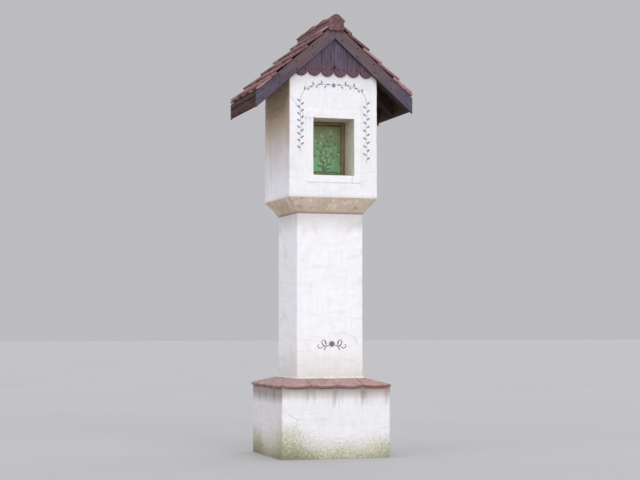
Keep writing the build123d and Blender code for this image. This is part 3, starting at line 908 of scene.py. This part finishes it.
CORNER_IN = 2 * COPING_PITCH + 0.0015
CORNER_OUT = 0.40
CORNER_HEAD = 0.07
BED = Matrix.Translation((0, -COPING_EDGE, COPING_EDGE_Z)) @ Matrix.Rotation(COPING_SLOPE, 4, "X")
BED = BED @ Matrix.Translation((0, 0, TILE_T))
UP_SLOPE = BED @ turn_by(90)
coping_tile = clay_tile("coping_tile", COPING_PITCH - TILE_JOINT, COPING_ROW, COPING_TAIL)
with shaping(coping_tile):
    cut((COPING_ROW - 0.004, 0, 0), (1, 0, 0), trim=True)
for side, quarter in (("front", 0), ("right", 1), ("back", 2), ("left", 3)):
    laid = []
    for j in range(4):
        slip = ((j - 1.5) * COPING_PITCH + by_chance(0.001), chance.uniform(-0.003, 0.001),
                chance.uniform(0, 0.001))
        place = Matrix.Translation(slip) @ UP_SLOPE @ askew(0.6, 0.5)
        tile = copy_of(coping_tile, place)
        mitred_end(tile)
        # one newer, redder tile, as at the right end of the front
        tone = 0.97 if side == "front" and j == 3 else chance.uniform(0, 0.75)
        lie(tile, place.inverted(), tone)
        laid.append(tile)
    for way in (-1, 1):
        low_x, high_x = sorted((way * CORNER_IN, way * CORNER_OUT))
        corner = block("corner", (low_x, COPING_TAIL, -TILE_T), (high_x, CORNER_HEAD, 0))
        corner.data.transform(BED)
        mitred_end(corner)
        lie(corner, Matrix.Identity(4), chance.uniform(0, 0.75))
        laid.append(corner)
    row = joined(f"coping_row_{side}", laid)
    uneven(row, 0.07, 0.0018)
    row.data.transform(turn_by(90 * quarter))
    ready(row, "coping_clay", COPING_CLAY, f"coping_tiles_{side}", angle=35)
drop(coping_tile)

# A thin lime fillet seals the coping against the shaft
FILLET_OUT = SHAFT_HALF + 0.016
FILLET_ROOT = 0.004
fillet_z = COPING_EDGE_Z + TILE_T + (COPING_EDGE - SHAFT_HALF) * tan(COPING_SLOPE)
fillets = []
for quarter in range(4):
    fillet = block("fillet", (-FILLET_OUT, -FILLET_OUT, fillet_z - 0.014),
                   (FILLET_OUT, -SHAFT_HALF + FILLET_ROOT, fillet_z + 0.013))
    with shaping(fillet):
        cut((0, -SHAFT_HALF - 0.005, fillet_z + 0.006), (0, -0.8, 0.6), trim=True)
        cut((0, -SHAFT_HALF - 0.010, fillet_z), (0, -0.95, 0.3), trim=True)
        for way in (-1, 1):
            cut((0, 0, 0), (way, 1, 0), trim=True)
        rule_off((-SHAFT_HALF, 0, 0), (SHAFT_HALF, 0, 0), 0.009, axes=(0,))
    fillet.data.transform(turn_by(90 * quarter))
    fillets.append(fillet)
fillet = joined("shaft_foot_fillet", fillets)
uneven(fillet, 0.025, 0.006, octaves=3)
ready(fillet, "lime_render", FILLET_WASH, angle=60)


# Timber: sawn boards, each with its own grain

def plane_on(turn, point, normal):
    return turn @ Vector(point), turn.to_3x3() @ Vector(normal)


def board(name, place, low, high, trims=(), worn=0.003, step=0.05, bow=0.0022):
    """One sawn board, its grain along x, sized in its own directions, set in place and cut to length,
    with worn arrises and faces that are a little out of true."""
    piece = block(name, low, high)
    piece.data.transform(place)
    with shaping(piece):
        for point, normal in trims:
            cut(point, normal, trim=True)
    soften(piece, worn, 2)
    wide = 1 if high[1] - low[1] > high[2] - low[2] else 2
    count = max(1, round((high[0] - low[0]) / step))
    with shaping(piece):
        for axis, share in [(0, i / count) for i in range(1, count)] + [(wide, 0.33), (wide, 0.67)]:
            point, normal = Vector(low), Vector()
            point[axis] = low[axis] + (high[axis] - low[axis]) * share
            normal[axis] = 1
            cut(*plane_on(place, point, normal))
    lie(piece, place.inverted())
    uneven(piece, 0.11, bow)
    return piece


# a board starts this much too long, or a share of it, and is then cut to length
SPARE = 0.12

for side, turn in SIDES.items():
    slope = turn @ SLOPE
    apex_cut = plane_on(turn, (-GAP / 2, 0, 0), (1, 0, 0))

    # deck boards run along the eave
    lengthwise = slope @ turn_by(90)
    boards = []
    deck_foot = (ROOF_HALF - DECK_END) / COS
    deck_edges = [deck_foot + (SLOPE_LENGTH - deck_foot) * i / DECK_BOARDS for i in range(DECK_BOARDS + 1)]
    for i, (near, far) in enumerate(zip(deck_edges, deck_edges[1:])):
        trims = []
        if i == 0:
            trims = [plane_on(turn, (-DECK_END, 0, 0), (-1, 0, 0))]
            near -= SPARE / 2
        if i == DECK_BOARDS - 1:
            trims = [apex_cut]
            far += SPARE / 4
        low, high = (-HALF_DECK, -far + DECK_JOINT, -DECK_LOW), (HALF_DECK, -near, -TILE_STACK - LAP_GAP)
        boards.append(board("deck_board", lengthwise, low, high, trims, worn=0.0025, step=0.09,
                            bow=0.0012))
    deck = joined(f"deck_boards_{side}", boards)
    ready(deck, "old_softwood", ROOF_WOOD, f"roof_deck_{side}", angle=30)

    eave_cut = plane_on(turn, (-EAVE_IN, 0, 0), (-1, 0, 0))
    for name, y in (("front", -RAFTER_Y), ("middle", 0.0), ("back", RAFTER_Y)):
        rafter = board(f"rafter_timber_{name}_{side}", slope, (-SPARE, -RAFTER_HALF, -RAFTER_LOW),
                       (SLOPE_LENGTH + SPARE, RAFTER_HALF, -DECK_LOW - LAP_GAP), [apex_cut, eave_cut],
                       step=0.07)
        rafter.data.transform(Matrix.Translation((0, y, 0)))
        ready(rafter, "old_softwood", ROOF_WOOD, f"rafter_{name}_{side}", angle=30)

    barge_cut = plane_on(turn, (-BARGE_END, 0, 0), (-1, 0, 0))
    for name, way in (("front", -1), ("back", 1)):
        turned = way if side == "left" else -way
        y_low, y_high = sorted((turned * HALF_DECK, turned * (HALF_DECK + BARGE_T)))
        barge = board(f"barge_{name}_{side}", slope, (-SPARE, y_low, -BARGE_LOW),
                      (SLOPE_LENGTH + SPARE, y_high, -TILE_STACK), [apex_cut, barge_cut])
        ready(barge, "painted_boards", BARGE_WOOD, f"barge_board_{name}_{side}", angle=30)

    upright = turn @ turn_by(90)
    eave = board(f"eave_plank_{side}", upright, (-HALF_DECK, EAVE_IN, EAVE_FOOT),
                 (HALF_DECK, EAVE_OUT, EAVE_FOOT + SPARE),
                 [plane_on(turn, (-EAVE_OUT, 0, roof_z(EAVE_OUT, DECK_LOW)), (-SIN, 0, COS))])
    ready(eave, "eave_timber", EAVE_WOOD, f"eave_board_{side}", angle=30)

# Gable boards: upright, each rounded at its foot and cut to the slope at its head
for name, turn in (("front", Matrix.Identity(4)), ("back", turn_by(180))):
    upright = turn @ Matrix(((0, -1, 0, 0), (0, 0, -1, 0), (1, 0, 0, 0), (0, 0, 0, 1)))
    head_cuts = [plane_on(turn, (0, 0, roof_z(0, DECK_LOW) - 0.001), (way * SIN, 0, COS)) for way in (-1, 1)]
    boards = []
    for i in range(BOARD_COUNT):
        # world x runs against the board's y
        mid_y = (i - (BOARD_COUNT - 1) / 2) * BOARD_PITCH
        drop_by = chance.uniform(-0.002, 0.0015)
        foot = BOARD_SPRING - TIP_R + drop_by
        low_y, high_y = mid_y - TIP_R, mid_y + TIP_R
        trims = list(head_cuts)
        if i in (0, BOARD_COUNT - 1):
            low_y, high_y = max(low_y, -HEAD_HALF), min(high_y, HEAD_HALF)
            foot = BOARD_SPRING
        else:
            for k in (*range(-TIP_FACETS, 0), *range(1, TIP_FACETS + 1)):
                angle = radians(k * 90 / (TIP_FACETS + 0.5))
                out = Vector((-cos(angle), sin(angle), 0))
                spring = Vector((BOARD_SPRING + drop_by, mid_y, 0))
                trims.append(plane_on(upright, spring + out * TIP_R, out))
        boards.append(board("gable_board", upright, (foot, low_y, HEAD_HALF + 0.0005),
                            (BOARD_TOP, high_y, HEAD_HALF + BOARD_T), trims, worn=0.0022, step=0.04,
                            bow=0.0015))
    gable = joined(f"gable_planks_{name}", boards)
    ready(gable, "painted_boards", GABLE_WOOD, f"gable_boards_{name}", angle=30)


# Ridge: bent sheets of clay given their thickness, collars over the laps, plates that close the ends

RIDGE_LEG = 0.070
RIDGE_ROUND = 0.015
RIDGE_LIFT = 0.006
RIDGE_FOOT_Z = roof_z(ROOF_HALF, 0) + (SLOPE_LENGTH - RIDGE_LEG) * SIN
ROUND_Z = APEX_Z - RIDGE_ROUND / COS
CAP_OUT = -RIDGE_LIFT - TILE_T
CAP_TONES = (0.1, 0.35, 0.25)
CAP_L = 2 * HALF_DEPTH / len(CAP_TONES)
COLLAR_L = 0.026
SHOULDER_L = 0.010
COLLAR_T = 0.0072
COLLAR_OUT = CAP_OUT - 0.0073
STOP_OUT = GAP + 0.011
STOP_HALF_W = 0.054
STOP_DROP = 0.066
STOP_ROUND = 0.033
STOP_CORNER = 0.012
BEDDING_MESH = 0.012


def rounded(radius, parts):
    """Trims the shape on screen to facets of the ridge's round, at these parts of its angle."""
    for part in parts:
        out = Vector((sin(PITCH * part), 0, cos(PITCH * part)))
        cut(Vector((0, 0, ROUND_Z)) + out * radius, out, trim=True)


def cap_shell(y_low, y_high, depth, thick):
    """A length of ridge cap whose outside lies this deep below the top of the tiles."""
    radius = RIDGE_ROUND - depth
    piece = block("cap", (-0.1, y_low, RIDGE_FOOT_Z - depth * COS), (0.1, y_high, ROUND_Z + radius))
    with shaping(piece):
        rounded(radius, (-1, -0.75, -0.5, -0.25, 0.25, 0.5, 0.75, 1))
        pick("faces", lambda face: face.normal.z < -0.9 or abs(face.normal.y) > 0.9)
        bpy.ops.mesh.delete(type="FACE")
    finish_with(piece, "SOLIDIFY", thickness=thick, offset=-1, use_even_offset=True)
    return piece


def cap_stop(way):
    """The plate that closes the ridge, its lower corners rounded."""
    low_z = RIDGE_FOOT_Z - CAP_OUT * COS - STOP_DROP
    y_low, y_high = sorted((way * (HALF_DEPTH + GAP), way * (HALF_DEPTH + STOP_OUT)))
    piece = block("plate", (-STOP_HALF_W, y_low, low_z), (STOP_HALF_W, y_high, ROUND_Z + STOP_ROUND - 0.001))
    with shaping(piece):
        rounded(STOP_ROUND, (-1, -0.5, 0.5, 1))
        pick("edges", lambda edge: along(edge, 1) and middle(edge).z < low_z + 0.001)
        round_off(STOP_CORNER, 4)
    return piece


for i, tone in enumerate(CAP_TONES):
    front = -HALF_DEPTH + i * CAP_L
    # the first cap has a stop in front and the last one behind
    end = i - 1
    shell_low, shell_high = front - STOP_OUT * (end < 0), front + CAP_L - GAP + STOP_OUT * (end > 0)
    parts = [cap_shell(shell_low, shell_high, CAP_OUT, TILE_T)]
    if i:
        parts.append(cap_shell(front - COLLAR_L, front + SHOULDER_L, COLLAR_OUT, COLLAR_T))
    if end:
        parts.append(cap_stop(end))
    for part in parts:
        soften(part, 0.0018, 2, 35)
    cap = joined(f"ridge_cap_{i + 1}", parts)
    with shaping(cap):
        rule_off((0, front, 2.9), (0, front + CAP_L, 3.05), 0.03, axes=(1, 2))
    lie(cap, turn_by(90), tone)
    uneven(cap, 0.08, 0.002)
    ready(cap, "roof_clay", ROOF_CLAY, f"ridge_tile_{i + 1}", angle=35)

# Mortar squeezed out under the caps
MORTAR_SETBACK = 0.003
MORTAR_SUNK = 0.006
foot_x = ROOF_HALF - (SLOPE_LENGTH - RIDGE_LEG) * COS
bed_low, bed_high = roof_z(foot_x, MORTAR_SUNK), 3.02
bed = block("ridge_bedding", (-foot_x - 0.002, -HALF_DEPTH + MORTAR_SETBACK, bed_low),
            (foot_x + 0.002, HALF_DEPTH - MORTAR_SETBACK, bed_high))
with shaping(bed):
    for way in (-1, 1):
        cut((0, 0, roof_z(0, -0.0055)), (way * SIN, 0, COS), trim=True)
        cut((way * (foot_x + 0.004), 0, roof_z(foot_x, 0)), (way * COS, 0, -SIN), trim=True)
    cut((0, 0, ROUND_Z + RIDGE_ROUND + 0.005), (0, 0, 1), trim=True)
    rule_off((-0.09, -HALF_DEPTH, bed_low), (0.09, HALF_DEPTH, bed_high), BEDDING_MESH)
uneven(bed, 0.035, 0.006,
       lambda point: (abs(point.x) - 0.045) / 0.01 if abs(point.y) < HALF_DEPTH - 0.01 else 0.0)
ready(bed, "mortar", MORTAR, "ridge_mortar", angle=60)

# Bed of the coping stays as packed, in mortar
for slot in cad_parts["coping_bed"].material_slots:
    slot.material = MORTAR


# Nails: one forged head, then its copies

def nail_head(radius):
    bpy.ops.mesh.primitive_cylinder_add(vertices=10, radius=radius, depth=0.006, location=(0, 0, 0))
    piece = bpy.context.active_object
    with shaping(piece):
        pick("faces", lambda face: face.normal.z > 0.9)
        for inset, rise in ((0.35, 0.22), (0.3, 0.12)):
            bpy.ops.mesh.inset(thickness=radius * inset)
            bpy.ops.transform.translate(value=(0, 0, radius * rise))
        pick("faces", lambda face: face.normal.z < -0.9)
        bpy.ops.mesh.inset(thickness=radius * 0.2)
    return piece


NAIL_R = 0.0045
BOLT_R = 0.011
BOLT_Z = 2.672
# heads stand this proud of the boards
PROUD = 0.001
BARGE_NAIL_X = [0.045 + k * 0.118 for k in range(5)]
BARGE_NAIL_D = (0.052, 0.094)
GABLE_NAIL_OFF = 0.024
EAVE_NAIL_RISE = (0.018, 0.050)
nail = nail_head(NAIL_R)
bolt = nail_head(BOLT_R)
OUTWARD = {"front": (0, -1, 0), "back": (0, 1, 0), "left": (-1, 0, 0), "right": (1, 0, 0)}
nails = {wall: [] for wall in OUTWARD}


def drive(wall, point, kind=nail):
    """A nail head on a board of that side, a little askew."""
    turn = Vector(OUTWARD[wall]).to_track_quat("Z", "Y").to_matrix().to_4x4()
    place = Matrix.Translation(point) @ turn @ turn_by(by_chance(7), "X")
    nails[wall].append(copy_of(kind, place))


for wall, way in (("front", -1), ("back", 1)):
    barge_y = way * (HALF_DECK + BARGE_T + PROUD)
    for side in (-1, 1):
        for x in BARGE_NAIL_X:
            for depth in BARGE_NAIL_D:
                drive(wall, (side * (x + by_chance(0.005)), barge_y, roof_z(x, depth)))
    gable_y = way * (HEAD_HALF + BOARD_T + PROUD)
    for i in range(1, BOARD_COUNT - 1):
        for offset in (-GABLE_NAIL_OFF, GABLE_NAIL_OFF):
            x = (i - (BOARD_COUNT - 1) / 2) * BOARD_PITCH + offset + by_chance(0.003)
            drive(wall, (x, gable_y, BOARD_SPRING + by_chance(0.003)))
    drive(wall, (0.0, gable_y + way * PROUD, BOLT_Z), bolt)
for wall, way in (("left", -1), ("right", 1)):
    for y in (-RAFTER_Y, 0.0, RAFTER_Y):
        for rise in EAVE_NAIL_RISE:
            drive(wall, (way * (EAVE_OUT + PROUD), y + by_chance(0.006), EAVE_FOOT + rise))
for wall, heads in nails.items():
    slot = "eave_timber" if wall in ("left", "right") else "painted_boards"
    ready(joined(f"nails_{wall}", heads), slot, IRON)
drop(nail, bolt)


# Painted ornament: brush strokes laid on the wash

def painted(name, wall, strokes, finish, slot="lime_render", thick=0.0008):
    """Brush strokes as tapering lines, flattened and laid on the front of the wall. Each stroke is a
    list of x, z and half width in millimetres."""
    line = bpy.data.curves.new(name, "CURVE")
    line.dimensions = "3D"
    line.bevel_depth = 0.001
    line.bevel_resolution = 1
    line.resolution_u = 6
    line.use_fill_caps = True
    for stroke in strokes:
        spline = line.splines.new("NURBS")
        spline.points.add(len(stroke) - 1)
        for point, (x, z, half) in zip(spline.points, stroke):
            point.co = (x / 1000, 0, z / 1000, 1)
            point.radius = half
        spline.order_u = 3
        spline.use_endpoint_u = True
    piece = bpy.data.objects.new(name, line)
    bpy.context.collection.objects.link(piece)
    select_only(piece)
    bpy.ops.object.convert(target="MESH")
    piece = bpy.context.active_object
    with shaping(piece):
        bpy.ops.mesh.select_all(action="SELECT")
        bpy.ops.mesh.remove_doubles(threshold=0.000001)
        bpy.ops.mesh.normals_make_consistent(inside=False)
    thickest = max(abs(point.co.y) for point in piece.data.vertices)
    for point in piece.data.vertices:
        hit, place, *_ = wall.ray_cast(Vector((point.co.x, -1.0, point.co.z)), Vector((0, 1, 0)))
        point.co.y = (place.y if hit else -HEAD_HALF) + (point.co.y / thickest - 0.5) * thick
    ready(piece, slot, finish, angle=60)


def leaf(x, z, angle, length, half):
    """A pointed leaf in one stroke."""
    a = radians(angle)
    return [(x + cos(a) * length * s, z + sin(a) * length * s, half * w)
            for s, w in ((0, 0.15), (0.25, 0.8), (0.5, 1.0), (0.8, 0.55), (1, 0.05))]


def blossom(x, z, petals, turn, length, half):
    return [leaf(x, z, 360 / petals * k + turn, length, half) for k in range(petals)]


# A thin vine with small leaves climbs beside the niche and bends over it
vine = []
reach, bend_z, top_z = 238, 2440, 2548
for way in (-1, 1):
    foot_z = 2085 if way < 0 else 2015
    stem = [(way * (reach + 5 * sin(k * 1.3)), foot_z + (bend_z - foot_z) * k / 7, 1.5) for k in range(8)]
    vine.append(stem + [(way * x, z, half) for x, z, half in (
        (226, 2490, 1.5), (190, 2530, 1.4), (130, top_z, 1.3), (70, top_z + 6, 1.2), (22, top_z, 0.8))])
    for k in range(1, 16):
        z = foot_z + (bend_z - foot_z) * k / 15.5
        side_way = way if k % 2 else -way
        vine.append(leaf(way * reach + side_way * 3, z, 90 - side_way * 50, 29, 7.4))
    for k, (x, z) in enumerate(((205, 2508), (176, 2532), (146, 2543), (114, 2550), (84, 2553), (54, 2552))):
        vine.append(leaf(way * x, z, 90 + way * (60 if k % 2 else -30) + 20 * way, 28, 7.0))
        if k % 2:
            vine.append(leaf(way * x, z - 6, -90 + way * 35, 24, 6.0))
vine += blossom(0, top_z + 1, 6, 30, 18, 6.4)
painted("vine_round_niche", head, vine, FAINT_PAINT)

# A small scrolled sprig on the shaft
SPRIG_X = 12
scrolls = [[(14, 770, 2.0), (32, 758, 4.0), (52, 757, 4.6), (70, 772, 3.8), (73, 792, 3.0), (60, 803, 2.6),
            (49, 794, 2.0), (54, 784, 1.6)],
           [(58, 758, 2.0), (74, 744, 3.6), (92, 744, 3.6), (103, 757, 2.8), (98, 770, 2.2), (90, 767, 1.6)]]
sprig = []
for way in (-1, 1):
    sprig += [[(SPRIG_X + way * x, z, half) for x, z, half in scroll] for scroll in scrolls]
    sprig.append(leaf(SPRIG_X + way * 40, 764, 90 - way * 14, 36, 6.0))
    sprig.append(leaf(SPRIG_X + way * 44, 752, -90 + way * 34, 26, 5.0))
sprig += blossom(SPRIG_X, 772, 8, 22, 27, 6.4)
painted("sprig_on_shaft", shaft, sprig, DARK_PAINT)

# The picture: a loose bunch of leafy stems with a few blossoms, in greens
dark_strokes = [[(-114, 1964, 5), (-60, 1972, 8), (0, 1966, 9), (60, 1973, 8), (114, 1966, 5)]]
pale_strokes = []
stems = ((-62, 150), (-38, 215), (-14, 262), (12, 236), (36, 275), (58, 190), (74, 128))
for k, (lean, rise) in enumerate(stems):
    stem = [(lean * (0.12 + 0.25 * s + 1.05 * s * s), 1968 + rise * s, 3.6 - 2.2 * s)
            for s in (0, 0.16, 0.25, 0.41, 0.5, 0.66, 0.75, 0.91, 1)]
    dark_strokes.append(stem)
    for j in range(4):
        for way in (-1, 1):
            x, z = stem[2 * j + 2 if way < 0 else 2 * j + 1][:2]
            turned = 90 - lean * 0.5 - way * (38 + by_chance(10))
            size = (40 - 5 * j) * chance.uniform(0.8, 1.15)
            stroke = leaf(x, z, turned, size, 7.5)
            (pale_strokes if (j + k + way) % 3 == 0 else dark_strokes).append(stroke)
    if k % 2 == 0:
        pale_strokes += blossom(stem[-1][0], stem[-1][1], 5, 15 * k, 15, 5.0)
painted("picture_dark_strokes", panel, dark_strokes, DARK_GREEN, "picture_paint", 0.0014)
painted("picture_pale_strokes", panel, pale_strokes, PALE_GREEN, "picture_paint", 0.0018)

# Floor, light and camera
bpy.ops.mesh.primitive_plane_add(size=160, location=(0, 0, -0.0005))
floor = bpy.context.active_object
floor.name = floor.data.name = "studio_floor"
floor.data.materials.append(studio_floor())

world = bpy.data.worlds.new("soft_room")
bpy.context.scene.world = world
world.use_nodes = True
feed(world.node_tree.nodes["Background"].inputs["Color"], "#fafaff")
feed(world.node_tree.nodes["Background"].inputs["Strength"], 0.53)


def soft_light(name, turn, rise, spread, power, tint):
    """A wide, far light; its turn and rise are those of a camera that stands where it comes from."""
    lamp = bpy.data.lights.new(name, "SUN")
    lamp.angle = radians(spread)
    lamp.energy = power
    lamp.color = colour(tint)[:3]
    holder = bpy.data.objects.new(name, lamp)
    bpy.context.collection.objects.link(holder)
    turn, rise = radians(turn), radians(rise)
    aim = -Vector((sin(turn) * cos(rise), -cos(turn) * cos(rise), sin(rise)))
    holder.rotation_euler = aim.to_track_quat("-Z", "Y").to_euler()


soft_light("key_light", 8, 14, 50, 1.46, "#fffefc")
soft_light("side_light", -62, 11, 60, 1.03, "#fcfbff")
soft_light("top_light", 150, 56, 100, 0.95, "#fafbff")

EYE_TURN = radians(-17.2)
EYE_AWAY = 11.0
EYE_Z = 0.90
AIM_Z = 1.50
lens = bpy.data.cameras.new("eye")
lens.lens = 88.0
lens.sensor_width = 36.0
eye = bpy.data.objects.new("eye", lens)
bpy.context.collection.objects.link(eye)
eye.location = (EYE_AWAY * sin(EYE_TURN), -EYE_AWAY * cos(EYE_TURN), EYE_Z)
eye.rotation_euler = (Vector((0, 0, AIM_Z)) - eye.location).to_track_quat("-Z", "Y").to_euler()
bpy.context.scene.camera = eye
bpy.context.scene.view_settings.view_transform = "Standard"
